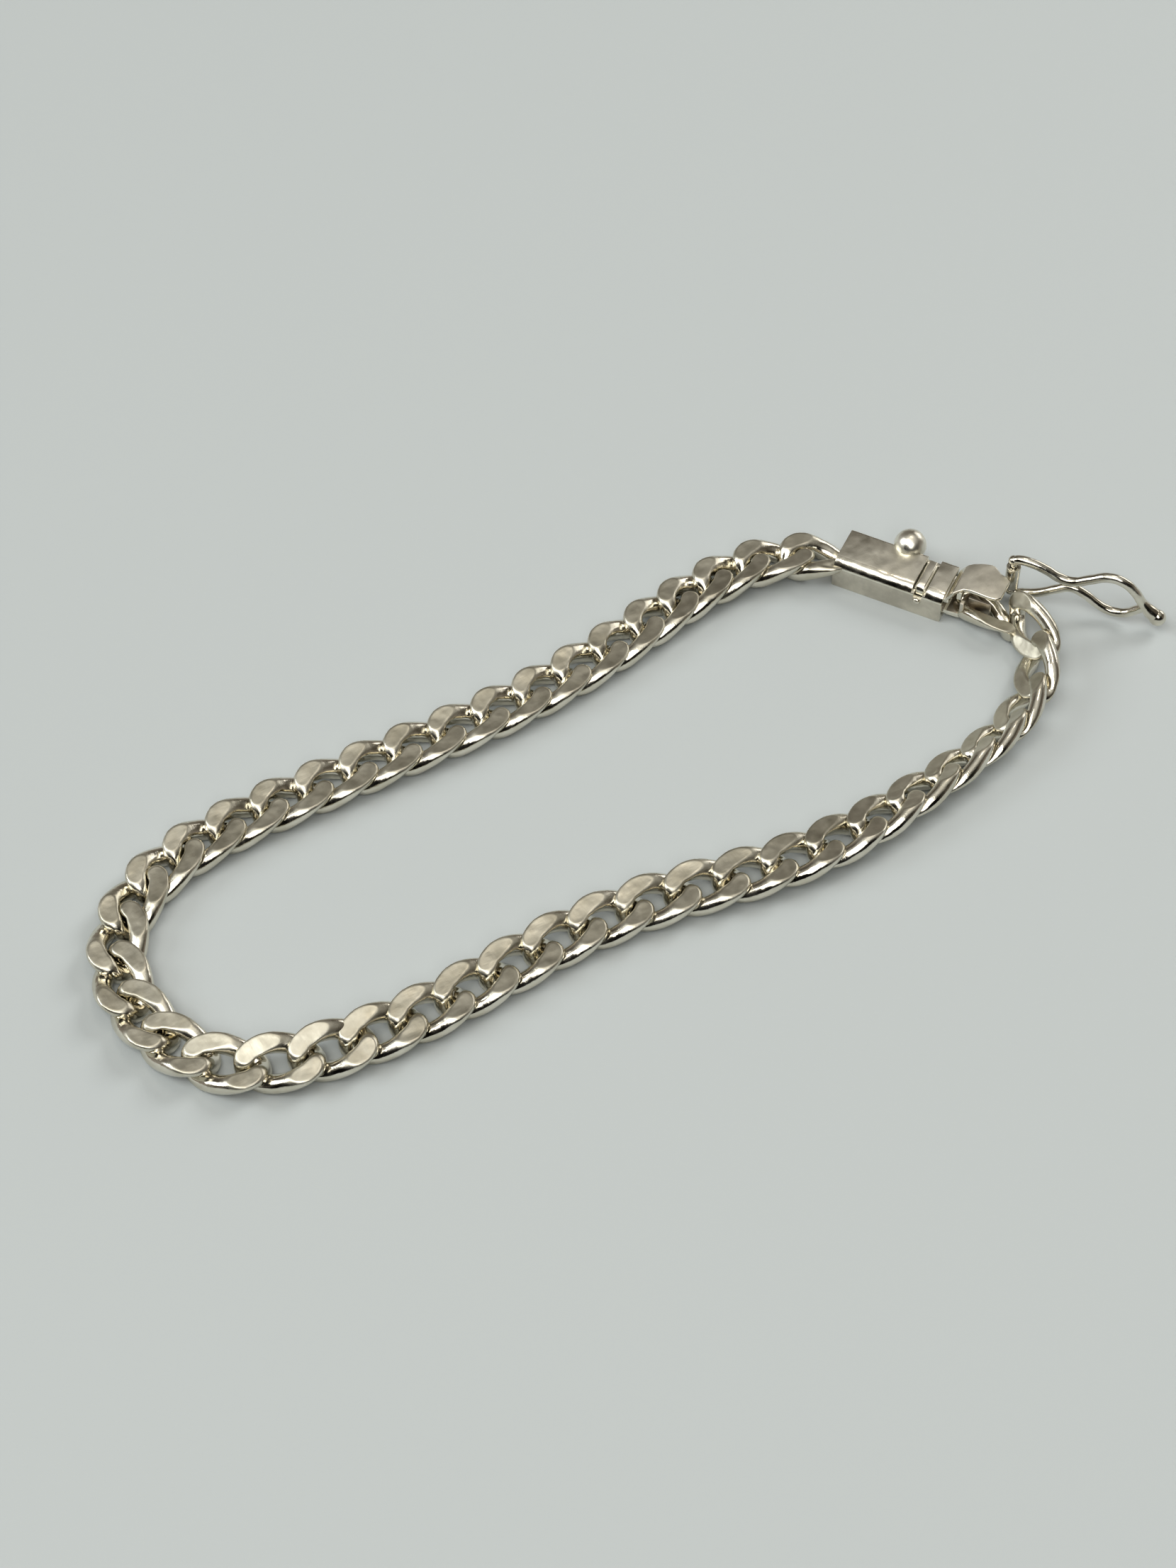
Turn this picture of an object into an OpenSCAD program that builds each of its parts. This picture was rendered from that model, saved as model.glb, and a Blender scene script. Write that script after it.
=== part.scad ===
// Curb chain bracelet with a box clasp, laid down as a closed loop.
// Forty-four twisted and ground links run from the box of the clasp round to
// its tongue. The first link is soldered into the box and the last one to the
// tongue. A figure-eight wire catch swings on the tongue and closes over a ball.
// Millimetres, +Z up, the loop lies on z = 0.

/* [Chain] */
// Number of links, the two soldered ones included
link_count = 44; // [44]
// Wire thickness of a link
link_wire = 1.5; // [1.35:0.05:1.5]
// Half length of a link along the chain, to the middle of its wire
link_half_length = 2.95; // [2.95:0.05:3]
// Half width of a link across the chain, to the middle of its wire
link_half_width = 1.85; // [1.8:0.05:1.9]
// How far the twist lifts the wire above and below the middle of a link
link_twist = 1.25; // [1.2:0.05:1.3]
// Thickness of a link after both faces are ground flat
link_thickness = 2.3; // [2.1:0.1:2.5]

/* [Clasp box] */
// Length of the box
box_length = 9.9; // [9.7:0.1:10.2]
// Width of the box
box_width = 4.2; // [4:0.1:4.6]
// Height of the box
box_height = 2.9; // [2.9:0.05:3.1]
// Sheet thickness of the box
box_wall = 0.4; // [0.3:0.05:0.45]
// Radius of the two long top edges
box_round = 0.45; // [0.3:0.05:0.6]
// Start of the slot across the top
slot_start = 7.1; // [7:0.05:7.1]
// End of the slot across the top
slot_end = 8.35; // [8.35:0.05:8.5]
// Radius of the ball on the back wall
ball_radius = 1.25; // [1.1:0.05:1.25]

/* [Tongue and lever] */
// Sheet thickness of the tongue and of the lever
leaf = 0.35; // [0.25:0.05:0.35]
// Width of both leaves inside the box
leaf_width = 2.9; // [2.4:0.1:3]
// Height of the thumb plate's underside
plate_height = 3; // [3:0.1:3.4]
// Height of the shoulder that stands in the slot
shoulder_top = 2.7; // [2.6:0.05:2.7]

/* [Safety catch] */
// Wire thickness of the catch
catch_wire = 0.66; // [0.5:0.02:0.68]
// Radius of the bead at the free end
catch_bead = 0.72; // [0.5:0.02:0.9]
// Direction of the opened catch, measured from the line of the clasp
catch_open_angle = 8.6; // [2:0.2:20]

/* [Hidden] */
// Points round one link and sides of its wire
rings = 16;
sides = 6;
// Direction of the clasp, from its box to its tongue
clasp_heading = -55.6;
// Centres of the two soldered links, as [along the clasp, across it]
first_link_at = [-1.75, 1.1];
last_link_at = [14.3, 2.5];
// Fold of the tongue, where the lever's leaf bends, as [along, height]
fold_at = [1.7, 1.45];
fold_pin = 0.28;
fold_bore = 0.34;
fold_curl = 0.65;
// Upright hinge of the safety catch, as [along, across]
hinge_at = [14.25, 5.4];
hinge_pin = 0.3;
hinge_bore = 0.35;
hinge_tube = 0.62;
// Ball on the back wall, as [along, across, height]
ball_at = [5.15, 5.15, 2.45];

// The course of the chain, from the clasp's box round to its tongue.
// link: number of the link; heading: direction of its length, in degrees;
// tilt: lean about its own length; step: distance from the link before;
// drift: degrees by which that step leaves the mean of the two headings;
// lift: extra height. Links between two rows take values in between.
//  link, heading, tilt, step, drift, lift
course = [
    [1, 146, 6, 4.15, 0, 0],
    [2, 166, 8, 4.15, 0, 0],
    [3, 184, 8, 4.1, 0, 0],
    [4, 191, 8, 4.05, 0, 0],
    [5, 192, 4, 4.05, 0, 0],
    [7, 188, 0, 4.05, 0, 0],
    [10, 178, 0, 4.05, 0, 0],
    [14, 179, 0, 4.0, 0, 0],
    [16, 188, 0, 3.9, 0, 0],
    [17, 202, 0, 3.85, 0, 0],
    [18, 220, 0, 3.8, 0, 0],
    [22, 301, 0, 3.8, 0, 0],
    [23, 321, 0, 3.85, 0, 0],
    [24, 340, 0, 3.9, 0, 0],
    [25, 352, 0, 3.95, 0, 0],
    [28, 362, 0, 4.05, 0, 0],
    [30, 361, 0, 4.1, 0, 0],
    [33, 348, 0, 4.1, 0, 0],
    [34, 348, -4, 4.1, 0, 0],
    [35, 353, -8, 4.1, 0, 0],
    [36, 360, -12, 4.1, 0, 0],
    [37, 366, -17, 4.1, 0, 0],
    [40, 375, -34, 4.1, 0, 0],
    [41, 392, -36, 4.0, 0, 0],
    [42, 414, -35, 4.2, -3.5, 0.06],
    [43, 442, -22, 4.05, -11, 0.05],
    [44, 468, -3, 3.8, 1, 0]
];

function column(c) = [for (row = course) [row[0], row[c]]];
heading_of = column(1);
tilt_of = column(2);
step_of = column(3);
drift_of = column(4);
lift_of = column(5);

// One link: an oval of round wire, twisted so that each side rises and falls,
// with its two faces ground flat.
function oval(t) =
    let (s = sin(2 * t))
    [link_half_length * cos(t), link_half_width * sin(t),
     -link_twist * s * (1.2 - 0.2 * s * s)];
function unit(v) = v / norm(v);
function ring(t) =
    let (p = oval(t),
         along = unit(oval(t + 0.05) - oval(t - 0.05)),
         out = unit([cos(t) / link_half_length, sin(t) / link_half_width, 0]),
         side = unit(out - (out * along) * along),
         rise = cross(side, along))
    [for (j = [0:sides - 1])
        let (a = 360 * (j + 0.5) / sides,
             q = p + link_wire / 2 * (cos(a) * side + sin(a) * rise))
        [q[0], q[1], max(-link_thickness / 2, min(link_thickness / 2, q[2]))]];
link_points = [for (i = [0:rings - 1]) each ring(360 * i / rings)];
function tube_faces(count, around, closed) = [
    for (i = [0:count - (closed ? 1 : 2)]) for (j = [0:around - 1])
        let (a = i * around + j,
             b = ((i + 1) % count) * around + j,
             c = ((i + 1) % count) * around + (j + 1) % around,
             d = i * around + (j + 1) % around)
        each [[a, c, b], [a, d, c]]];

// Turn a point by a lean about X and by a heading about Z.
function leaned(p, a) = [p[0], p[1] * cos(a) - p[2] * sin(a),
                         p[1] * sin(a) + p[2] * cos(a)];
function turned(p, a) = [p[0] * cos(a) - p[1] * sin(a),
                         p[0] * sin(a) + p[1] * cos(a), p[2]];

// Centres of the links. What is left between the end of the course and the
// tongue is shared out evenly over the steps.
function clasp_point(p) =
    turned([p[0], p[1], 0], clasp_heading);
function step_vector(i) =
    let (a = (lookup(i - 1, heading_of) + lookup(i, heading_of)) / 2
             + lookup(i, drift_of))
    lookup(i, step_of) * [cos(a), sin(a), 0];
function walk(i) = i <= 1 ? clasp_point(first_link_at)
                          : walk(i - 1) + step_vector(i);
open_end = clasp_point(last_link_at) - walk(link_count);
function centre(i) = walk(i) + open_end * (i - 1) / (link_count - 1);

function link_shape(i) =
    let (c = centre(i),
         flat = [for (p = link_points)
            turned(leaned(p, lookup(i, tilt_of)), lookup(i, heading_of))],
         low = -min([for (p = flat) p[2]]) + lookup(i, lift_of))
    [for (p = flat) p + [c[0], c[1], low]];
all_links = [for (i = [1:link_count]) link_shape(i)];

// Outline of the opened safety catch, as [distance from its hinge, height].
catch_upper = [[0, 4.5], [0.35, 4.68], [1.4, 4.65], [2.8, 4.2], [4, 3.6],
               [5.1, 3.48], [6.5, 4.2], [8, 4.95], [9.4, 4.75], [10.6, 3.85],
               [11.6, 2.85], [12.6, 1.9]];
catch_lower = [[0, 0.85], [0.35, 0.62], [1.1, 0.75], [2.4, 1.2], [3.8, 2.1],
               [5, 2.72], [6.2, 2.35], [7.4, 1.4], [8.4, 0.85], [9.1, 0.75],
               [9.9, 1.05], [10.7, 1.95], [11.6, 2.85]];
catch_reach = catch_upper[len(catch_upper) - 1][0];

// The whole loop is moved so that its extent is centred on the origin.
catch_end = clasp_point(hinge_at)
    + turned([catch_reach, 0, 0], clasp_heading + catch_open_angle);
lows = [for (k = [0:1])
    min(catch_end[k] - catch_bead,
        min([for (l = all_links) each [for (p = l) p[k]]]))];
highs = [for (k = [0:1])
    max(catch_end[k] + catch_bead,
        max([for (l = all_links) each [for (p = l) p[k]]]))];
middle = [(lows[0] + highs[0]) / 2, (lows[1] + highs[1]) / 2, 0];

silver = [0.80, 0.78, 0.72];
satin_silver = [0.72, 0.70, 0.66];

function link_name(i) = str("link_", i < 10 ? "0" : "", i);

module in_clasp() {
    translate(-middle) rotate([0, 0, clasp_heading]) children();
}

module placed_link(i) {
    translate(-middle)
        polyhedron(all_links[i - 1], tube_faces(rings, sides, true));
}

module chain_link(i) {
    color(silver) placed_link(i);
}

// A profile in [across, height], drawn out along the clasp from a to b.
module along_clasp(a, b) {
    translate([a, 0, 0]) rotate([90, 0, 90])
        linear_extrude(height = b - a) children();
}

// A profile in [along, height], drawn out across the clasp from a to b.
module across_clasp(a, b) {
    translate([0, b, 0]) rotate([90, 0, 0])
        linear_extrude(height = b - a) children();
}

module box_outline() {
    square([box_width, box_height - box_round]);
    translate([box_round, 0])
        square([box_width - 2 * box_round, box_height]);
    for (y = [box_round, box_width - box_round])
        translate([y, box_height - box_round])
            circle(r = box_round, $fn = 32);
}

// The sheet box: hollow, open towards the tongue, with a slot across its top
// for the shoulder, a ball on the back wall and a bead of solder in front.
module clasp_box() {
    color(satin_silver) difference() {
        union() {
            in_clasp() along_clasp(0, box_length) box_outline();
            in_clasp() translate(ball_at) sphere(r = ball_radius, $fn = 48);
            in_clasp() translate([7.65, -0.02, 1.75])
                sphere(r = 0.3, $fn = 24);
            placed_link(1);
        }
        in_clasp() {
            translate([0.9, box_wall, box_wall - 0.05])
                cube([box_length, box_width - 2 * box_wall,
                      box_height - 2 * box_wall + 0.1]);
            translate([slot_start, -1, 2.5])
                cube([slot_end - slot_start, box_width + 2, 1]);
            translate([slot_start, -1, 2.15])
                cube([slot_end - slot_start, 1 + box_wall + 0.1, 1]);
            translate([0, -3, -1]) cube([3, 3, 5]);
        }
    }
}

// The lower leaf with its curled fold, the last link and the hinge tube.
module clasp_tongue() {
    color(silver) {
        in_clasp() {
            across_clasp(box_width / 2 - leaf_width / 2,
                         box_width / 2 + leaf_width / 2) difference() {
                union() {
                    translate(fold_at) circle(r = fold_curl, $fn = 40);
                    translate([fold_at[0], 0.55]) square([9.2, 0.4]);
                }
                translate(fold_at) circle(r = fold_bore, $fn = 40);
                translate(fold_at) polygon([[-0.1, 0], [1.2, -0.8], [1.2, 1.4]]);
            }
            translate([0, 0, 0.55]) linear_extrude(height = 0.4)
                polygon([[10.2, 0.65], [11.2, 0.7], [12.6, 1.2],
                         [12.4, 3.4], [10.2, 3.55]]);
            translate([hinge_at[0], hinge_at[1], 1.3]) difference() {
                cylinder(r = hinge_tube, h = 2.5, $fn = 40);
                translate([0, 0, -1])
                    cylinder(r = hinge_bore, h = 5, $fn = 40);
            }
        }
        placed_link(link_count);
    }
}

// The upper leaf: it bends at the fold, stands up in the slot as a shoulder,
// ducks under the end of the box and rises into the thumb plate.
module thumb_lever() {
    t = leaf;
    color(satin_silver) in_clasp() {
        across_clasp(box_width / 2 - leaf_width / 2,
                     box_width / 2 + leaf_width / 2) {
            translate(fold_at) circle(r = fold_pin, $fn = 40);
            polygon([[fold_at[0], fold_at[1] + t / 2],
                     [slot_start + 0.1, 2.2], [slot_start + 0.1, shoulder_top],
                     [slot_end - 0.15, shoulder_top], [slot_end - 0.15, 2.3],
                     [10.15, 2.3], [10.15, 2.3 - t],
                     [slot_start, 2.2 - t], [fold_at[0], fold_at[1] - t / 2]]);
        }
        intersection() {
            across_clasp(0, 6)
                polygon([[10, 2.3 - t], [10.15, 2.3 - t],
                         [11.15, plate_height], [14.6, plate_height],
                         [14.6, plate_height + t], [11, plate_height + t],
                         [10, 2.3]]);
            linear_extrude(height = 5)
                polygon([[10, 0.5], [11.2, 1.6], [13.6, 1.55], [14.1, 1.65],
                         [14.5, 2], [14.5, 4.05], [14.1, 4.4], [13.5, 4.55],
                         [12.8, 5.1], [12.4, 5.15], [10.9, 4.75], [10, 4.1]]);
        }
        translate([10.75, 1.35, 1.6]) cube([0.45, 0.4, 1.3]);
    }
}

// A smooth wire through points given as [distance, height].
function blend(a, b, c, d, t) =
    0.5 * (2 * b + (c - a) * t + (2 * a - 5 * b + 4 * c - d) * t * t
           + (3 * b - a - 3 * c + d) * t * t * t);
function smooth(p, n) = [
    for (i = [0:len(p) - 2]) for (k = [0:n - 1])
        blend(p[max(0, i - 1)], p[i], p[i + 1], p[min(len(p) - 1, i + 2)],
              k / n),
    p[len(p) - 1]];
module flat_wire(p, r, around) {
    m = len(p);
    pts = [for (i = [0:m - 1])
        let (g = unit(p[min(m - 1, i + 1)] - p[max(0, i - 1)]))
        for (j = [0:around - 1])
            let (a = 360 * j / around)
            [p[i][0] - r * cos(a) * g[1], r * sin(a),
             p[i][1] + r * cos(a) * g[0]]];
    ends = [[for (j = [0:around - 1]) j],
            [for (j = [around - 1:-1:0]) (m - 1) * around + j]];
    polyhedron(pts, concat(tube_faces(m, around, false), ends));
}

// The safety catch: one wire bent into a figure eight, its two ends joined by
// a pin through the tube and its tip melted into a bead.
module safety_catch() {
    tip = catch_upper[len(catch_upper) - 1];
    color(silver) in_clasp()
        translate([hinge_at[0], hinge_at[1], 0])
            rotate([0, 0, catch_open_angle]) {
                flat_wire(smooth(catch_upper, 3), catch_wire / 2, 8);
                flat_wire(smooth(catch_lower, 3), catch_wire / 2, 8);
                translate([0, 0, 0.6])
                    cylinder(r = hinge_pin, h = 4.05, $fn = 40);
                translate([-0.1, 0, 4.5]) sphere(r = 0.45, $fn = 32);
                translate([-0.05, 0, 0.72]) sphere(r = 0.42, $fn = 32);
                translate([tip[0], 0, tip[1]])
                    sphere(r = catch_bead, $fn = 32);
            }
}

clasp_box();
for (i = [2:link_count - 1])
    chain_link(i);
clasp_tongue();
thumb_lever();
safety_catch();
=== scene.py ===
import math

import bmesh
import bpy
from mathutils import Matrix, Vector


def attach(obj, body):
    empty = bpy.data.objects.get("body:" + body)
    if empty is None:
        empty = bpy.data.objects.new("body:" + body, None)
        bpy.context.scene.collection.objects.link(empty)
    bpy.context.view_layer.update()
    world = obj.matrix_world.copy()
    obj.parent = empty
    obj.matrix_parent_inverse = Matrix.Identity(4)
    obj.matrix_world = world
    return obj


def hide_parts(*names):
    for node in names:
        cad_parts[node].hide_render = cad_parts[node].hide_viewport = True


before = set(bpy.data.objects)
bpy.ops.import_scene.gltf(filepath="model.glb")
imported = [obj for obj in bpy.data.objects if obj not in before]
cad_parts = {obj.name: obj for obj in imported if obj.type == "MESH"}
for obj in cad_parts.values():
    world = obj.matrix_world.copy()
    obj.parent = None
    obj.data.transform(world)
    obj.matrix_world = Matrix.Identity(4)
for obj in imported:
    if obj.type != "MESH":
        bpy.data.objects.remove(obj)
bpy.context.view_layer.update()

MM = 0.001
SAME_POINT = 1e-7  # metres: points nearer to each other than this are one

# ---------------------------------------------------------------- helpers


def nothing_selected():
    """Go back to object mode with nothing selected."""
    if bpy.context.object and bpy.context.object.mode != "OBJECT":
        bpy.ops.object.mode_set(mode="OBJECT")
    bpy.ops.object.select_all(action="DESELECT")


def take_up(piece):
    """Make one piece the selected and active one."""
    nothing_selected()
    piece.select_set(True)
    bpy.context.view_layer.objects.active = piece


def called(piece, name):
    """Name a piece and its mesh."""
    piece.name = piece.data.name = name
    return piece


def settle(piece):
    """Put a piece's place, turn and scale into its mesh."""
    take_up(piece)
    bpy.ops.object.transform_apply(location=True, rotation=True, scale=True)


def edit(piece, kind="FACE"):
    """Open a piece for editing with nothing selected."""
    take_up(piece)
    bpy.ops.object.mode_set(mode="EDIT")
    bpy.ops.mesh.select_mode(type=kind)
    bpy.ops.mesh.select_all(action="DESELECT")


def edit_whole(piece):
    """Open a piece for editing with all of it selected."""
    edit(piece)
    bpy.ops.mesh.select_all(action="SELECT")


def leave():
    """Close the piece that is open for editing."""
    bpy.ops.object.mode_set(mode="OBJECT")


def pick(piece, kind, test):
    """Open a piece and select its vertices, edges or faces that pass a test."""
    edit(piece, kind)
    sheet = bmesh.from_edit_mesh(piece.data)
    for part in {"VERT": sheet.verts, "EDGE": sheet.edges, "FACE": sheet.faces}[kind]:
        if test(part):
            part.select_set(True)
    bmesh.update_edit_mesh(piece.data)


def pick_faces(piece, test):
    """Select the faces whose middle, in millimetres, and normal pass a test."""
    pick(piece, "FACE", lambda face: test(face.calc_center_median() / MM, face.normal))


def inset(width, even=True):
    """Set the selected faces in by a narrow band."""
    bpy.ops.mesh.inset(thickness=width * MM, use_even_offset=even)


def draw_out(way):
    """Extrude what is selected one way, in millimetres."""
    bpy.ops.mesh.extrude_region_move(
        TRANSFORM_OT_translate={"value": [c * MM for c in way]})


def cut_off(piece, at, beyond):
    """Cut away what lies beyond a plane, and close the cut."""
    edit_whole(piece)
    bpy.ops.mesh.bisect(plane_co=at * MM, plane_no=beyond, threshold=SAME_POINT,
                        use_fill=True, clear_outer=True)
    leave()


def outward(piece):
    """Merge doubled points and turn all faces outward."""
    edit_whole(piece)
    bpy.ops.mesh.remove_doubles(threshold=SAME_POINT)
    bpy.ops.mesh.normals_make_consistent(inside=False)
    leave()


def fasten(piece, kind, **settings):
    """Add a modifier, set it and apply it."""
    take_up(piece)
    bpy.ops.object.modifier_add(type=kind)
    modifier = piece.modifiers[-1]
    for key, value in settings.items():
        setattr(modifier, key, value)
    bpy.ops.object.modifier_apply(modifier=modifier.name)


def smooth_shade(piece, angle):
    """Shade a piece smooth, but for edges sharper than the angle."""
    take_up(piece)
    bpy.ops.object.shade_smooth_by_angle(angle=math.radians(angle))


def dress(piece, silver, width, segments=2, angle=32, shade=35):
    """Break a piece's sharp edges, shade it smooth and give it its silver."""
    fasten(piece, "BEVEL", width=width * MM, segments=segments, limit_method="ANGLE",
           angle_limit=math.radians(angle), harden_normals=False,
           use_clamp_overlap=True)
    if shade:
        smooth_shade(piece, shade)
    piece.data.materials.append(silver)


def join(name, pieces):
    """Join pieces into the first of them."""
    nothing_selected()
    for piece in pieces:
        piece.select_set(True)
    bpy.context.view_layer.objects.active = pieces[0]
    bpy.ops.object.join()
    return called(pieces[0], name)


# ---------------------------------------------------------------- silver

# sizes of the noise, per metre, and depths in metres
CLOUDS, WANDER, DENTS = 420, 900, 620
SCRATCH_DEPTH, DENT_DEPTH = 0.00002, 0.00025
# the part of each noise's range that is used
TONES, WANDERED = (0.36, 0.62), (0.3, 0.7)
# a mix node's two inputs and its output, for each kind of data
MIX_SOCKETS = {"FLOAT": (2, 3, 0), "RGBA": (6, 7, 2)}


def add(tree, kind, at, **values):
    """Add a node; values are its own settings or those of its inputs."""
    node = tree.nodes.new(kind)
    node.location = at
    for key, value in values.items():
        if hasattr(node, key):
            setattr(node, key, value)
        else:
            node.inputs[key].default_value = value
    return node


def noise(tree, at, place, scale, detail, **more):
    """The value of a noise at a place."""
    node = add(tree, "ShaderNodeTexNoise", at, Scale=scale, Detail=detail, **more)
    tree.links.new(place, node.inputs["Vector"])
    return node.outputs["Fac"]


def ranged(tree, at, value, spread, result):
    """A value carried over from one range to another."""
    node = add(tree, "ShaderNodeMapRange", at)
    keys = ("From Min", "From Max", "To Min", "To Max")
    for key, number in zip(keys, (*spread, *result)):
        node.inputs[key].default_value = number
    tree.links.new(value, node.inputs["Value"])
    return node.outputs["Result"]


def two_tone(tree, at, value, dark, tint):
    """A colour between a dark tint and a light one."""
    node = add(tree, "ShaderNodeValToRGB", at)
    stops = zip(node.color_ramp.elements, TONES, (dark, tint))
    for element, position, colour in stops:
        element.position = position
        element.color = (*colour, 1)
    tree.links.new(value, node.inputs["Fac"])
    return node.outputs["Color"]


def mixed(tree, at, kind, amount, first, second):
    """Two values or two colours, mixed by an amount."""
    node = add(tree, "ShaderNodeMix", at, data_type=kind)
    low, high, result = MIX_SOCKETS[kind]
    tree.links.new(amount, node.inputs["Factor"])
    tree.links.new(first, node.inputs[low])
    tree.links.new(second, node.inputs[high])
    return node.outputs[result]


def relief(tree, at, height, strength, depth, under=None):
    """The normal of a relief, on top of another one where there is one."""
    node = add(tree, "ShaderNodeBump", at, Strength=strength, Distance=depth)
    tree.links.new(height, node.inputs["Height"])
    if under is not None:
        tree.links.new(under, node.inputs["Normal"])
    return node.outputs["Normal"]


def metal(name, tint, dark, roughness, scratches, dents, grain, rubbed=None):
    """Silver with slight tarnish clouds, fine scratches and shallow dents.

    Where rubbed is given, as a tint, a dark tint and a roughness, the silver fades to
    that by the "rubbed" mark of the piece's own mesh.
    """
    material = bpy.data.materials.new(name)
    material.use_nodes = True
    tree = material.node_tree
    tree.nodes.clear()
    link = tree.links.new
    out = add(tree, "ShaderNodeOutputMaterial", (900, 0))
    shader = add(tree, "ShaderNodeBsdfPrincipled", (600, 0), Metallic=1.0)
    link(shader.outputs["BSDF"], out.inputs["Surface"])
    place = add(tree, "ShaderNodeTexCoord", (-1000, 0)).outputs["Object"]

    # tarnish clouds, a few millimetres across, and a roughness that wanders
    clouds = noise(tree, (-700, 260), place, CLOUDS, 4, Roughness=0.6)
    wander = noise(tree, (-700, 0), place, WANDER, 3)
    colour = two_tone(tree, (-400, 260), clouds, dark, tint)
    rough = ranged(tree, (-400, 0), wander, WANDERED, roughness)
    if rubbed:
        worn_tint, worn_dark, worn_roughness = rubbed
        mark = add(tree, "ShaderNodeAttribute", (-400, 600),
                   attribute_name="rubbed").outputs["Fac"]
        worn = two_tone(tree, (-400, 450), clouds, worn_dark, worn_tint)
        colour = mixed(tree, (300, 400), "RGBA", mark, colour, worn)
        worn = ranged(tree, (-400, 700), wander, WANDERED, worn_roughness)
        rough = mixed(tree, (300, 150), "FLOAT", mark, rough, worn)
    link(colour, shader.inputs["Base Color"])
    link(rough, shader.inputs["Roughness"])

    # hairline scratches in two directions over shallow dents
    hairs = add(tree, "ShaderNodeMath", (-450, -300), operation="ADD")
    for socket, turn, along, across in ((0, 0.5, 1, 0.14), (1, -0.9, 0.16, 1)):
        lay = add(tree, "ShaderNodeMapping", (-900, -300), Rotation=(0.2, 0.1, turn),
                  Scale=(grain * along, grain * across, grain * 0.5))
        link(place, lay.inputs["Vector"])
        hair = noise(tree, (-700, -300), lay.outputs["Vector"], 1.0, 2)
        link(hair, hairs.inputs[socket])
    hollows = noise(tree, (-450, -550), place, DENTS, 1.5)
    scratch = relief(tree, (-150, -300), hairs.outputs[0], scratches, SCRATCH_DEPTH)
    dent = relief(tree, (150, -400), hollows, dents, DENT_DEPTH, under=scratch)
    link(dent, shader.inputs["Normal"])
    return material


polished = metal("polished_silver", tint=(0.78, 0.75, 0.65), dark=(0.64, 0.60, 0.50),
                 roughness=(0.10, 0.24), scratches=0.20, dents=0.45, grain=9000)
link_silver = metal("link_silver", tint=(0.77, 0.73, 0.63), dark=(0.64, 0.60, 0.49),
                    roughness=(0.08, 0.20), scratches=0.25, dents=0.45, grain=9000,
                    rubbed=((0.72, 0.69, 0.58), (0.54, 0.51, 0.41), (0.32, 0.46)))
sheet_silver = metal("satin_sheet_silver", tint=(0.96, 0.93, 0.82),
                     dark=(0.80, 0.77, 0.66), roughness=(0.28, 0.42),
                     scratches=0.30, dents=0.35, grain=12000)
plate_silver = metal("satin_plate_silver", tint=(0.82, 0.785, 0.685),
                     dark=(0.66, 0.63, 0.54), roughness=(0.42, 0.54),
                     scratches=0.30, dents=0.35, grain=12000)
ball_silver = metal("satin_ball_silver", tint=(0.84, 0.81, 0.71),
                    dark=(0.70, 0.66, 0.56), roughness=(0.25, 0.38),
                    scratches=0.30, dents=0.3, grain=12000)
# painted shade: a darker silver for the box's side walls and the tongue's side tab, as
# they lie in shade
shaded_sides_silver = metal("painted_shade_sides_silver", tint=(0.75, 0.70, 0.595),
                    dark=(0.55, 0.51, 0.43), roughness=(0.30, 0.44),
                    scratches=0.30, dents=0.35, grain=12000)
# painted shade: a dark brownish silver for the parts under the thumb plate and in the
# box's mouth, where shade falls
painted_shade_silver = metal("painted_shade_dark_silver", tint=(0.40, 0.37, 0.31),
                    dark=(0.27, 0.23, 0.18), roughness=(0.34, 0.48),
                    scratches=0.30, dents=0.3, grain=12000)

# ---------------------------------------------------------------- chain links

# millimetres and degrees: the wire is up to 6 percent heavier between a link's ends
# and its sides, and the oval's halves go to the middle of the wire
WIRE, HEAVIER = 1.6, 0.06
HALF_LENGTH, HALF_WIDTH, TWIST, THICKNESS = 2.78, 1.6, 0.9, 2.0
SHARPER_TWIST, ROLL, CUP = 0.18, 8, 0.04
FACE = THICKNESS / 2  # how far the ground faces are from a link's middle
# a ground face: near points of its rim that become one, the two bands inside the rim,
# how far down the wire the rim is rubbed round, and how far down the rubbed look goes
RIM_MERGE, BAND, INNER_BAND, RUB_DEPTH, MARK_DEPTH = 0.05, 0.16, 0.12, 0.22, 0.4
ON_FACE, CLOSE_TO_FACE = 0.0005, 0.02
# only the ground faces have more corners than this
RING_SIDES = 6

LINKS = 44
CLASP_AT = Vector((25.6336, 10.1786, 0))
CLASP_HEADING = math.radians(-55.6)
# middles of the first and the last link, from the clasp's corner, along and across
FIRST_AT, LAST_AT = (-1.75, 1.1), (14.3, 2.5)
# how far along the clasp the box's link reaches into the box's end wall
BOX_LINK_END = 0.85
# link, heading, step, drift, lift: the course of the solids' chain
COURSE = [
    (1, 146, 4.15, 0, 0), (2, 166, 4.15, 0, 0), (3, 184, 4.1, 0, 0),
    (4, 191, 4.05, 0, 0), (5, 192, 4.05, 0, 0), (7, 188, 4.05, 0, 0),
    (10, 178, 4.05, 0, 0), (14, 179, 4.0, 0, 0), (16, 188, 3.9, 0, 0),
    (17, 202, 3.85, 0, 0), (18, 220, 3.8, 0, 0), (22, 301, 3.8, 0, 0),
    (23, 321, 3.85, 0, 0), (24, 340, 3.9, 0, 0), (25, 352, 3.95, 0, 0),
    (28, 362, 4.05, 0, 0), (30, 361, 4.1, 0, 0), (33, 348, 4.1, 0, 0),
    (34, 348, 4.1, 0, 0), (35, 353, 4.1, 0, 0), (36, 360, 4.1, 0, 0),
    (37, 366, 4.1, 0, 0), (40, 375, 4.1, 0, 0), (41, 392, 4.0, 0, 0),
    (42, 414, 4.2, -3.5, 0.06), (43, 442, 4.05, -11, 0.05), (44, 468, 3.8, 1, 0),
]
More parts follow.
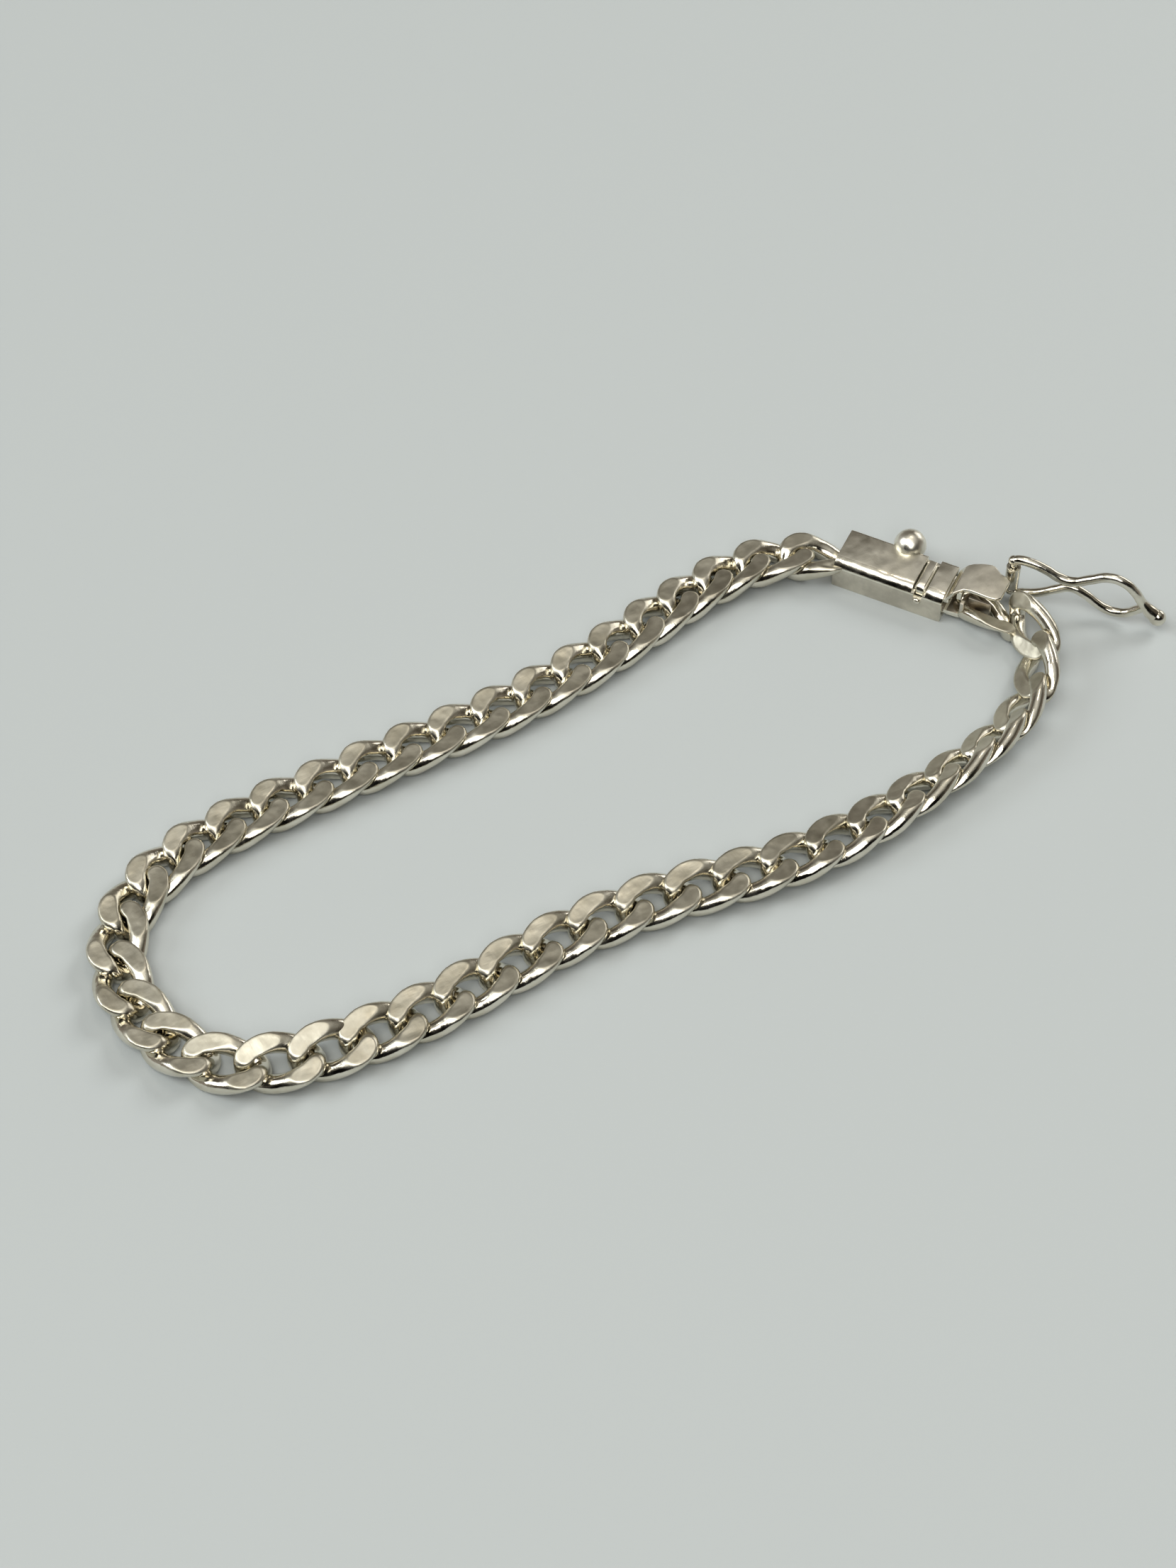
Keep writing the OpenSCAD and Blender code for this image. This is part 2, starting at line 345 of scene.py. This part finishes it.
# link, along, across: where the photo shows the links beside the solids' places
SLIDE = [
    (1, 0, 0), (5, -1.1, -0.3), (10, -1.1, -0.15), (14, -1.05, -0.05), (17, -0.9, 0),
    (19, -0.7, -0.1), (21, -0.4, 0.1), (22, -0.3, -0.05), (23, -0.1, -0.3),
    (24, 0.1, -0.25), (27, 0.5, -0.15), (30, 0.5, 0.3), (33, 0.5, 0.2),
    (36, 0.5, 0.15), (38, 0.4, 0.05), (40, 0.3, -0.3), (42, 0.2, -0.6),
    (43, 0.4, -0.4), (44, 0.8, 0.9),
]
# link, lean, share of its full section, yaw: round the right bend the links lean most
STAND = [
    (1, 6, 1, -7), (4, 8, 1, -7), (7, 0, 1, -7), (22, 0, 1, -7), (24, 12, 1, -7),
    (25, 12, 1, -7), (27, 0, 1, -7), (33, 0, 1, -7), (36, -14, 1, -5),
    (38, -28, 0.92, -2), (40, -40, 0.88, 0), (42, -46, 0.86, 0), (43, -52, 0.86, -1),
    (44, 8, 0.8, -7),
]


def between(table, i):
    """The values for a link, between the two rows it lies between."""
    for low, high in zip(table, table[1:]):
        if low[0] <= i <= high[0]:
            part = (i - low[0]) / (high[0] - low[0])
            return [a + part * (b - a) for a, b in zip(low[1:], high[1:])]


def turned(along, across, heading):
    """A distance along a heading and one across it, as x and y."""
    return (along * math.cos(heading) - across * math.sin(heading),
            along * math.sin(heading) + across * math.cos(heading))


def clasp_point(along, across):
    """A point given from the clasp's corner, as the clasp is turned."""
    return Vector((*turned(along, across, CLASP_HEADING), 0))


def link_centres():
    """The middles of the links, from the box round the chain to the tongue."""
    at = [clasp_point(*FIRST_AT)]
    for i in range(2, LINKS + 1):
        heading, step, drift, _ = between(COURSE, i)
        before = between(COURSE, i - 1)[0]
        x, y = turned(step, 0, math.radians((before + heading) / 2 + drift))
        at.append(at[-1] + Vector((x, y, 0)))
    spare = clasp_point(*LAST_AT) - at[-1]
    return [c + spare * (i / (LINKS - 1)) + CLASP_AT for i, c in enumerate(at)]


def oval(t):
    """A point of the middle of a link's wire: an oval, twisted and rolled."""
    roll = math.radians(ROLL)
    y = HALF_WIDTH * math.sin(t)
    z = -TWIST * (math.sin(2 * t) + SHARPER_TWIST * math.sin(4 * t))
    return Vector((HALF_LENGTH * math.cos(t), y * math.cos(roll) - z * math.sin(roll),
                   y * math.sin(roll) + z * math.cos(roll)))


def round_mesh(wire, thickness, roundness, smoothness):
    """Make a curve a round wire, as a mesh."""
    wire.data.dimensions = "3D"
    wire.data.bevel_depth = thickness / 2 * MM
    wire.data.bevel_resolution = roundness
    wire.data.resolution_u = smoothness
    take_up(wire)
    bpy.ops.object.convert(target="MESH")
    outward(bpy.context.object)
    return bpy.context.object


def link_wire():
    """A round wire bent to a link."""
    nothing_selected()
    bpy.ops.curve.primitive_bezier_circle_add(radius=MM, location=(0, 0, 0))
    wire = bpy.context.object
    bpy.ops.object.mode_set(mode="EDIT")
    bpy.ops.curve.select_all(action="SELECT")
    bpy.ops.curve.subdivide(number_cuts=5)
    leave()
    points = wire.data.splines[0].bezier_points
    nudge = 0.01
    for k, point in enumerate(points):
        t = math.tau * k / len(points)
        slope = (oval(t + nudge) - oval(t - nudge)) / (2 * nudge)
        reach = slope * (math.tau / len(points) / 3)
        point.handle_left_type = point.handle_right_type = "FREE"
        point.co = oval(t) * MM
        point.handle_left = (oval(t) - reach) * MM
        point.handle_right = (oval(t) + reach) * MM
        point.radius = 1 + HEAVIER * math.sin(2 * t) ** 2
    wire.data.twist_mode = "MINIMUM"
    return round_mesh(wire, WIRE, roundness=12, smoothness=4)


def rub_rims(link):
    """Rub the rims of the ground faces round.

    Two narrow bands inside each rim keep the face flat. The rim itself and the points
    of the wire close below it are smoothed down together.
    """
    def ground(face):
        return len(face.verts) > RING_SIDES

    def by_ground(v):
        return any(ground(face) for face in v.link_faces)

    def beside_ground(v):
        return by_ground(v) or any(by_ground(e.other_vert(v)) for e in v.link_edges)

    pick(link, "VERT", lambda v: abs(abs(v.co.z) / MM - FACE) < ON_FACE)
    bpy.ops.mesh.remove_doubles(threshold=RIM_MERGE * MM)
    leave()
    pick_faces(link, lambda c, n: abs(n.z) > 0.99 and abs(c.z) > FACE - CLOSE_TO_FACE)
    inset(BAND, even=False)
    leave()
    pick(link, "FACE", ground)
    inset(INNER_BAND, even=False)
    leave()
    pick(link, "VERT",
         lambda v: abs(v.co.z) / MM > FACE - RUB_DEPTH and not beside_ground(v))
    bpy.ops.mesh.vertices_smooth(factor=0.5, repeat=6)
    leave()


def make_link():
    """One link: a twisted wire ring with both faces ground flat and rubbed."""
    link = link_wire()
    for side in (1, -1):
        cut_off(link, Vector((0, 0, side * FACE)), (0, 0, side))
    link.data.materials.append(link_silver)
    rub_rims(link)
    smooth_shade(link, 60)
    mark = link.data.attributes.new("rubbed", "FLOAT", "POINT")
    for v, value in zip(link.data.vertices, mark.data):
        depth = (FACE - abs(v.co.z) / MM) / MARK_DEPTH
        value.value = max(0.0, min(1.0, 1 - depth))
    for v in link.data.vertices:
        v.co.z += CUP * v.co.y ** 2 / MM
    return link


def place_link(master, i, name):
    """A copy of the link at its place in the chain, resting on the table."""
    copy = master.copy()
    copy.data = master.data.copy()
    bpy.context.scene.collection.objects.link(copy)
    lean, share, yaw = between(STAND, i)
    along, across = between(SLIDE, i)
    heading, _, _, lift = between(COURSE, i)
    heading = math.radians(heading)
    tilt = (Matrix.Rotation(math.radians(lean), 4, "X")
            @ Matrix.Diagonal((1, share, share, 1)))
    copy.data.transform(Matrix.Rotation(heading + math.radians(yaw), 4, "Z") @ tilt)
    low = min(v.co.z for v in copy.data.vertices)
    x, y = turned(along, across, heading)
    x, y = x + CENTRES[i - 1].x, y + CENTRES[i - 1].y
    copy.data.transform(Matrix.Translation((x * MM, y * MM, lift * MM - low)))
    return called(copy, name)


CENTRES = link_centres()
master_link = make_link()
for i in range(2, LINKS):
    piece = place_link(master_link, i, f"curb_link_{i:02d}")
    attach(piece, "loop")
    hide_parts(f"link_{i:02d}")
box_link = place_link(master_link, 1, "box_link")
# its soldered end stops inside the box's end wall, clear of the lever's pin
cut_off(box_link, CLASP_AT + clasp_point(BOX_LINK_END, 0), clasp_point(1, 0))
tongue_link = place_link(master_link, LINKS, "tongue_link")
bpy.data.objects.remove(master_link)

# ---------------------------------------------------------------- clasp

# millimetres from the clasp's corner: along it, across it, height
BOX_LONG, BOX_WIDE, BOX_HIGH = 9.9, 4.2, 2.9
BOX_WALL, BOX_DEEP = 0.38, 9.0
EDGE_REACH = 0.1  # a point this near to an edge is one of its ends
LEAF_SIDES = (0.65, 3.55)
# the middle of the fold, along and in height, where the lever's pin is
FOLD = (1.7, 1.45)
HINGE = (14.25, 5.4)
TO_CLASP = (Matrix.Translation(CLASP_AT * MM)
            @ Matrix.Rotation(CLASP_HEADING, 4, "Z"))


def block(name, low, high):
    """A block between two corners."""
    nothing_selected()
    low, high = Vector(low), Vector(high)
    bpy.ops.mesh.primitive_cube_add(size=1, location=(low + high) / 2 * MM)
    piece = bpy.context.object
    piece.scale = (high - low) * MM
    settle(piece)
    return called(piece, name)


def rod(name, at, radius, length, vertices, lying=False):
    """A rod round its middle, upright or lying across the clasp."""
    nothing_selected()
    bpy.ops.mesh.primitive_cylinder_add(
        vertices=vertices, radius=radius * MM, depth=length * MM,
        location=[c * MM for c in at], rotation=(math.pi / 2 if lying else 0, 0, 0))
    piece = bpy.context.object
    settle(piece)
    return called(piece, name)


def bead(name, at, radius, squash=(1, 1, 1), silver=polished):
    """A melted ball of silver, out of round where squash says so."""
    nothing_selected()
    bpy.ops.mesh.primitive_uv_sphere_add(radius=radius * MM, segments=40, ring_count=24,
                                         location=Vector(at) * MM)
    ball = bpy.context.object
    ball.scale = squash
    settle(ball)
    smooth_shade(ball, 60)
    ball.data.materials.append(silver)
    return called(ball, name)


def drawn_shape(name, corners, way):
    """A flat shape, filled between its corners and drawn out one way."""
    nothing_selected()
    bpy.ops.mesh.primitive_circle_add(vertices=len(corners), radius=MM,
                                      fill_type="NGON", location=(0, 0, 0))
    piece = bpy.context.object
    for vertex, corner in zip(piece.data.vertices, corners):
        vertex.co = Vector(corner) * MM
    edit_whole(piece)
    draw_out(way)
    leave()
    outward(piece)
    return called(piece, name)


def strip(name, profile, low, high):
    """A bent strip: its profile in [along, height], drawn out across the clasp."""
    return drawn_shape(name, [(u, low, z) for u, z in profile], (0, high - low, 0))


def plate(name, outline, low, high):
    """A flat sheet: its outline in [along, across], drawn out to its thickness."""
    return drawn_shape(name, [(u, n, low) for u, n in outline], (0, 0, high - low))


def arc(centre, radius, start, end, count):
    """Points on an arc, from one angle in degrees to another."""
    turns = [math.radians(start + (end - start) * k / count) for k in range(count + 1)]
    return [(centre[0] + radius * math.cos(a), centre[1] + radius * math.sin(a))
            for a in turns]


def round_top_edge(piece, across, height, radius, segments):
    """Round the edge that runs along the clasp at a place across and a height."""
    def on_edge(v):
        off = max(abs(v.co.y / MM - across), abs(v.co.z / MM - height))
        return off < EDGE_REACH

    pick(piece, "EDGE", lambda edge: all(on_edge(v) for v in edge.verts))
    bpy.ops.mesh.bevel(offset=radius * MM, segments=segments, affect="EDGES")
    leave()


def carve(piece, *cutters):
    """Cut other pieces out of one, and remove them."""
    for cutter in cutters:
        fasten(piece, "BOOLEAN", object=cutter, operation="DIFFERENCE", solver="EXACT")
        bpy.data.objects.remove(cutter)


def finish(piece, silver, test):
    """Give the faces whose middle, in millimetres, and normal pass a test a silver."""
    piece.data.materials.append(silver)
    for face in piece.data.polygons:
        if test(face.center / MM, face.normal):
            face.material_index = len(piece.data.materials) - 1


def assemble(name, parts, placed=()):
    """Take parts to where the clasp lies and join them, with those placed before."""
    for part in parts:
        part.data.transform(TO_CLASP)
        part.data.update()
    return join(name, [*parts, *placed])


def make_box():
    """The box: a folded sheet, open towards the tongue, slotted across its top."""
    box = block("clasp_box_shell", (0, 0, 0), (BOX_LONG, BOX_WIDE, BOX_HIGH))
    round_top_edge(box, 0, BOX_HIGH, radius=1.05, segments=12)
    pick_faces(box, lambda c, n: n.x > 0.9)
    inset(BOX_WALL)
    draw_out((-BOX_DEEP, 0, 0))
    leave()
    round_top_edge(box, BOX_WIDE, BOX_HIGH, radius=0.25, segments=4)
    carve(box,
          block("slot", (7.1, -1, 2.34), (8.35, 5.2, 3.5)),
          block("notch", (7.35, -1, 1.95), (8.1, 0.6, 3.5)))
    dress(box, sheet_silver, 0.06, segments=3, angle=35)
    finish(box, polished, lambda c, n: c.z > 2.2 and n.z > 0.12 and abs(n.y) > 0.12)
    # painted shade on the box's side walls
    finish(box, shaded_sides_silver, lambda c, n: abs(n.y) > 0.95)
    return [box, bead("box_ball", (5.12, 4.75, 2.72), 1.4, silver=ball_silver),
            bead("solder_bead", (7.7, -0.02, 1.68), 0.3, (1.2, 0.8, 1.0))]


def make_tongue():
    """The tongue: a leaf curled round the lever's pin, a tube and small parts."""
    curl = arc(FOLD, 0.62, 48, 262, 18)
    inner_curl = arc(FOLD, 0.36, 300, 48, 14)
    leaf = strip("tongue_leaf", [*curl, (10.9, 0.55), (10.9, 0.95), (2.6, 0.95),
                                 *inner_curl], *LEAF_SIDES)
    dress(leaf, sheet_silver, 0.04, angle=40)
    outer_leaf = plate("tongue_outer_leaf", [
        (10.2, 0.65), (11.2, 0.7), (12.6, 1.2), (12.4, 3.4), (10.2, 3.55)], 0.5, 1.02)
    dress(outer_leaf, sheet_silver, 0.06, angle=30)
    # painted shade on the outer leaf's top, in the box's mouth
    finish(outer_leaf, painted_shade_silver, lambda c, n: n.z > 0.9)

    tube = rod("hinge_tube", (*HINGE, 2.55), radius=0.62, length=2.5, vertices=48)
    pick_faces(tube, lambda c, n: abs(n.z) > 0.9)
    inset(0.27)
    bpy.ops.mesh.bridge_edge_loops()
    leave()
    outward(tube)
    dress(tube, polished, 0.05, angle=35)

    parts = [leaf, outer_leaf, tube]
    for name, low, high, silver in (
            # the spring wall, in the box's mouth, and the bracket, under the thumb
            # plate, carry painted shade
            ("tongue_spring_wall", (9.72, 0.55, 0.75), (9.96, 3.65, 1.45), painted_shade_silver),
            # the side tab carries the painted shade of the box's sides
            ("tongue_side_tab", (11.3, 0.72, 0.75), (11.66, 1.2, 2.38), shaded_sides_silver),
            ("tongue_bracket", (11.75, 1.55, 0.5), (13.75, 1.8, 2.44), painted_shade_silver)):
        parts.append(block(name, low, high))
        dress(parts[-1], silver, 0.06, segments=3)
    drop = bead("tongue_solder_drop", (11.98, 1.25, 1.35), 0.24, (1, 1, 1.4))
    return [*parts, drop]


def make_thumb():
    """The thumb plate: a bent strip, cut to the plate's outline."""
    thumb = strip("thumb_plate", [
        (9.98, 1.95), (10.3, 1.95), (10.35, 2.3), (10.75, 2.74), (11.9, 3.0),
        (14.6, 3.0), (14.6, 3.32), (11.8, 3.36), (10.5, 3.06), (10.02, 2.6)], 0.3, 5.3)
    outline = plate("plate_outline", [
        (10, 0.5), (11.2, 1.6), (13.6, 1.55), (14.1, 1.65), (14.5, 2), (14.5, 4.05),
        (14.1, 4.4), (13.5, 4.55), (12.8, 5.1), (12.4, 5.15), (10.9, 4.75),
        (10, 4.1)], 1, 5)
    fasten(thumb, "BOOLEAN", object=outline, operation="INTERSECT", solver="EXACT")
    bpy.data.objects.remove(outline)
    dress(thumb, plate_silver, 0.12, segments=4, angle=30)
    finish(thumb, polished, lambda c, n: n.z < 0.9)
    return thumb


def make_lever():
    """The lever: its leaf and shoulder inside the box, and the thumb plate outside."""
    leaf = strip("lever_leaf", [
        (1.7, 1.625), (7.2, 2.2), (7.2, 2.62), (7.28, 2.7), (8.12, 2.7), (8.2, 2.62),
        (8.2, 2.3), (10.3, 2.3), (10.3, 1.95), (7.1, 1.85), (1.7, 1.275)], *LEAF_SIDES)
    dress(leaf, sheet_silver, 0.03, angle=30)
    thumb = make_thumb()
    shoulder = block("lever_shoulder", (7.37, 0.42, 2.0), (8.06, 3.78, BOX_HIGH))
    round_top_edge(shoulder, 0.42, BOX_HIGH, radius=0.7, segments=8)
    dress(shoulder, sheet_silver, 0.07, segments=3)
    finish(shoulder, polished, lambda c, n: n.z < 0.95)
    skirt = block("lever_skirt", (9.3, 0.62, 1.52), (9.54, 3.58, 2.0))
    # painted shade: the skirt inside the box's mouth is dark silver
    dress(skirt, painted_shade_silver, 0.05, shade=None)
    tab = block("lever_tab", (10.75, 1.35, 2.0), (11.2, 1.75, 2.9))
    dress(tab, sheet_silver, 0.05, shade=None)
    pin = rod("fold_pin", (FOLD[0], 2.1, FOLD[1]), radius=0.28, length=2.9, vertices=32,
              lying=True)
    dress(pin, polished, 0.03)
    return [thumb, leaf, shoulder, skirt, tab, pin]


box_whole = assemble("clasp_box_whole", make_box(), [box_link])
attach(box_whole, "loop")
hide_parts("clasp_box")

tongue_whole = assemble("clasp_tongue_whole", make_tongue(), [tongue_link])
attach(tongue_whole, "loop")
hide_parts("clasp_tongue")

lever_whole = assemble("thumb_lever_whole", make_lever())
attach(lever_whole, "lever")
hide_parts("thumb_lever")

# ---------------------------------------------------------------- safety catch

# points of the two wires: distance from the hinge, height
CATCH_UPPER = [
    (0, 4.5), (0.35, 4.68), (1.4, 4.65), (2.8, 4.2), (4, 3.6), (5.1, 3.48), (6.5, 4.2),
    (8, 4.95), (9.4, 4.75), (10.4, 3.9), (11.2, 2.75), (12.0, 1.9), (12.6, 1.45),
]
CATCH_LOWER = [
    (0, 0.85), (0.35, 0.62), (1.1, 0.75), (2.4, 1.2), (3.8, 2.1), (5, 2.72),
    (6.2, 2.35), (7.4, 1.5), (8.4, 1.0), (9.1, 0.92), (9.9, 1.1), (10.8, 1.82),
    (11.45, 2.45),
]
# the upper wire is this much thicker from this distance on, where it meets the tip
NECK, NECK_FROM = 1.45, 11.9
CATCH_TURN = 8.6  # degrees that the open catch is turned from the clasp


def wire_through(name, course, thickness):
    """A round wire through the points of a course."""
    nothing_selected()
    bpy.ops.curve.primitive_bezier_curve_add(location=(0, 0, 0))
    wire = bpy.context.object
    points = wire.data.splines[0].bezier_points
    points.add(len(course) - len(points))
    for point, (s, z) in zip(points, course):
        point.co = Vector((s, 0, z)) * MM
        point.handle_left_type = point.handle_right_type = "AUTO"
        point.radius = NECK if s > NECK_FROM else 1
    wire.data.use_fill_caps = True
    wire = round_mesh(wire, thickness, roundness=6, smoothness=8)
    smooth_shade(wire, 50)
    wire.data.materials.append(polished)
    return called(wire, name)


def make_catch():
    """The catch: two wires bent to a figure eight, on a post in the tongue's tube."""
    upper = wire_through("catch_upper_wire", CATCH_UPPER, 0.84)
    lower = wire_through("catch_lower_wire", CATCH_LOWER, 0.8)
    post = rod("catch_post", (0, 0, 2.625), radius=0.3, length=4.05, vertices=40)
    dress(post, polished, 0.05)
    return [upper, lower, post,
            bead("catch_top_knot", (-0.1, 0, 4.5), 0.45, (1.0, 1.0, 0.9)),
            bead("catch_low_knot", (-0.05, 0, 0.72), 0.42, (1.0, 1.0, 0.9)),
            bead("catch_tip", (12.65, 0, 1.4), 0.74, (1.0, 0.95, 1.0))]


catch_whole = join("safety_catch_whole", make_catch())
catch_whole.data.transform(
    TO_CLASP @ Matrix.Translation(Vector((*HINGE, 0)) * MM)
    @ Matrix.Rotation(math.radians(CATCH_TURN), 4, "Z"))
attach(catch_whole, "catch")
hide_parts("safety_catch")

# ---------------------------------------------------------------- table, light, camera

TABLE_SIZE, TABLE_HEIGHT = 3.0, -0.00002
# how high a direction points, from 0 for level and below to 1 for straight up, and
# the room's colour there
ROOM_STOPS = [
    (0.0, (0.30, 0.27, 0.24)), (0.5, (0.07, 0.06, 0.045)), (0.66, (0.13, 0.12, 0.10)),
    (0.80, (0.30, 0.29, 0.265)), (0.89, (0.44, 0.43, 0.395)),
    (0.95, (0.62, 0.61, 0.57)), (1.0, (0.70, 0.69, 0.65)),
]
# the side of the room that the photo was taken from is nearly dark: how far a
# direction points away from there, and its share of the colour
DARK_SIDE, DARK_SHARE = (-0.6, -0.3), (0.02, 1.0)
ROOM_TURN = math.radians(-60)
# where the photo was taken from, in metres, and how the camera tips and turns
CAMERA_AT, CAMERA_TIP, CAMERA_TURN = (-0.08299, -0.13607, 0.2069), 37.59, -30
LENS, SENSOR = 73.24, 36


def table_finish():
    """A matt grey with a very fine grain."""
    material = bpy.data.materials.new("matt_table")
    material.use_nodes = True
    tree = material.node_tree
    shader = tree.nodes["Principled BSDF"]
    shader.inputs["Base Color"].default_value = (0.436, 0.468, 0.470, 1)
    shader.inputs["Roughness"].default_value = 0.62
    place = add(tree, "ShaderNodeTexCoord", (-800, -200)).outputs["Object"]
    grain = noise(tree, (-600, -200), place, 2600, 3)
    bump = relief(tree, (-300, -200), grain, 0.15, 0.00005)
    tree.links.new(bump, shader.inputs["Normal"])
    return material


def lamp(name, at, size, power, colour, spin=0):
    """A panel of light that faces the middle of the table."""
    data = bpy.data.lights.new(name, "AREA")
    data.shape = "RECTANGLE"
    data.size, data.size_y = size
    data.energy = power
    data.color = colour
    light = bpy.data.objects.new(name, data)
    bpy.context.scene.collection.objects.link(light)
    light.location = at
    aim = (-Vector(at)).to_track_quat("-Z", "Y").to_matrix().to_4x4()
    aim = aim @ Matrix.Rotation(math.radians(spin), 4, "Z")
    light.rotation_euler = aim.to_euler()
    return light


def make_room():
    """The room that the silver mirrors: darkest halfway up and on the photo's side."""
    world = bpy.data.worlds.new("room")
    bpy.context.scene.world = world
    world.use_nodes = True
    tree = world.node_tree
    tree.nodes.clear()
    link = tree.links.new
    out = add(tree, "ShaderNodeOutputWorld", (700, 0))
    glow = add(tree, "ShaderNodeBackground", (500, 0), Strength=1.0)
    way = add(tree, "ShaderNodeTexCoord", (-900, 0))
    turn = add(tree, "ShaderNodeMapping", (-700, 0), vector_type="NORMAL",
               Rotation=(0, 0, ROOM_TURN))
    split = add(tree, "ShaderNodeSeparateXYZ", (-500, 0))
    height = add(tree, "ShaderNodeValToRGB", (-250, 150))
    stops = height.color_ramp.elements
    for stop, (position, colour) in zip(stops, (ROOM_STOPS[0], ROOM_STOPS[-1])):
        stop.position = position
        stop.color = (*colour, 1)
    for position, colour in ROOM_STOPS[1:-1]:
        stops.new(position).color = (*colour, 1)
    dim = add(tree, "ShaderNodeVectorMath", (100, 0), operation="SCALE")
    link(glow.outputs[0], out.inputs[0])
    link(way.outputs["Generated"], turn.inputs["Vector"])
    link(turn.outputs["Vector"], split.inputs[0])
    link(split.outputs["Z"], height.inputs["Fac"])
    link(height.outputs["Color"], dim.inputs[0])
    link(ranged(tree, (-250, -150), split.outputs["X"], DARK_SIDE, DARK_SHARE),
         dim.inputs["Scale"])
    link(dim.outputs[0], glow.inputs["Color"])


nothing_selected()
bpy.ops.mesh.primitive_plane_add(size=TABLE_SIZE, location=(0, 0, TABLE_HEIGHT))
table = bpy.context.object
table.name = "table"
settle(table)
table.data.materials.append(table_finish())

lamp("ceiling_panel", (-0.33, -0.30, 0.80), (1.15, 0.45), 5.8, (1.0, 0.985, 0.95),
     spin=-30)
lamp("window", (-0.95, 0.55, 0.75), (0.7, 0.6), 6.4, (0.95, 0.99, 1.0))
lamp("side_window", (0.85, 0.22, 0.30), (0.6, 0.36), 1.4, (1.0, 0.98, 0.94))
lamp("warm_spot", (0.19, 0.15, 0.86), (0.15, 0.15), 0.4, (1.0, 0.90, 0.78))
# lights the table from the right; the silver does not mirror it
right_panel = lamp("right_panel", (0.74, 0.14, 0.62), (0.4, 0.4), 4.2,
                   (1.0, 0.99, 0.97))
right_panel.visible_glossy = False
make_room()
bpy.context.scene.view_settings.view_transform = "Standard"

camera_data = bpy.data.cameras.new("camera")
camera = bpy.data.objects.new("camera", camera_data)
bpy.context.scene.collection.objects.link(camera)
camera.location = CAMERA_AT
camera.rotation_euler = (math.radians(CAMERA_TIP), 0, math.radians(CAMERA_TURN))
camera_data.sensor_fit = "VERTICAL"
camera_data.sensor_height = SENSOR
camera_data.lens = LENS
camera_data.clip_start = 0.005
bpy.context.scene.camera = camera
